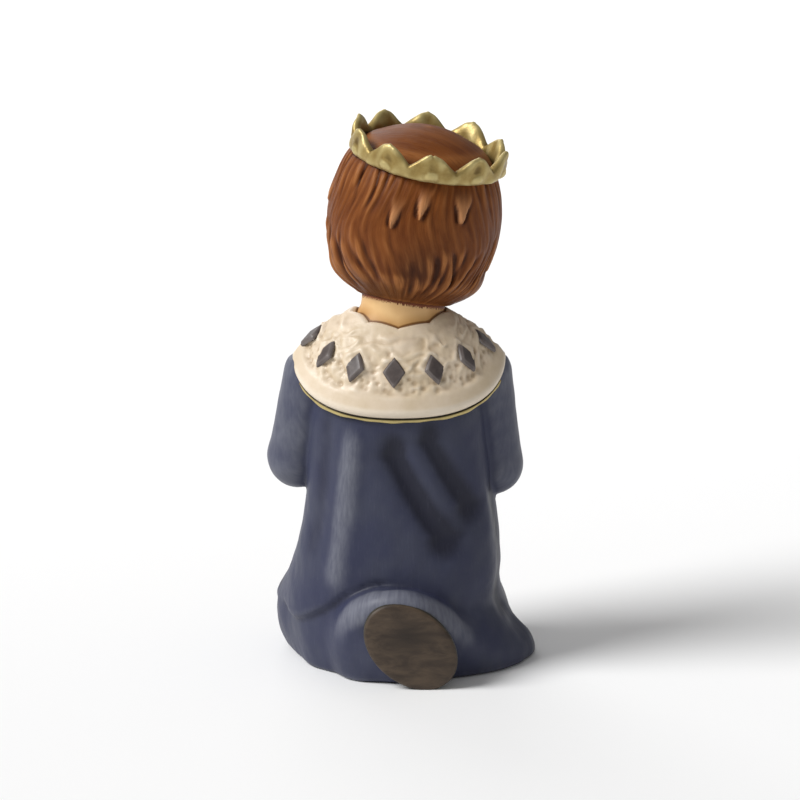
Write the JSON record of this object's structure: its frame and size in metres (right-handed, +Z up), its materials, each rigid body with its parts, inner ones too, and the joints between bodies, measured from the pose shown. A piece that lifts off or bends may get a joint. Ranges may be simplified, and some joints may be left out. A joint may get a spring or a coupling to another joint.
{
  "type": "wise man nativity figurine",
  "caption": "Small ceramic figure of a crowned king kneeling in prayer, in a long robe with a fur collar, standing on its own knees and skirt.",
  "frame": {"origin": "middle of the footprint, on the surface the figure stands on", "axes": "+Z up through the head, -Y the way the figure faces, +X to the figure's own left"},
  "size_m": [0.0524, 0.0462, 0.1104],
  "materials": {
    "painted_ceramic": "satin paint, mostly slate blue, over fired clay"
  },
  "bodies": {
    "root": {"wise_man": "painted_ceramic"}
  },
  "joints": []
}
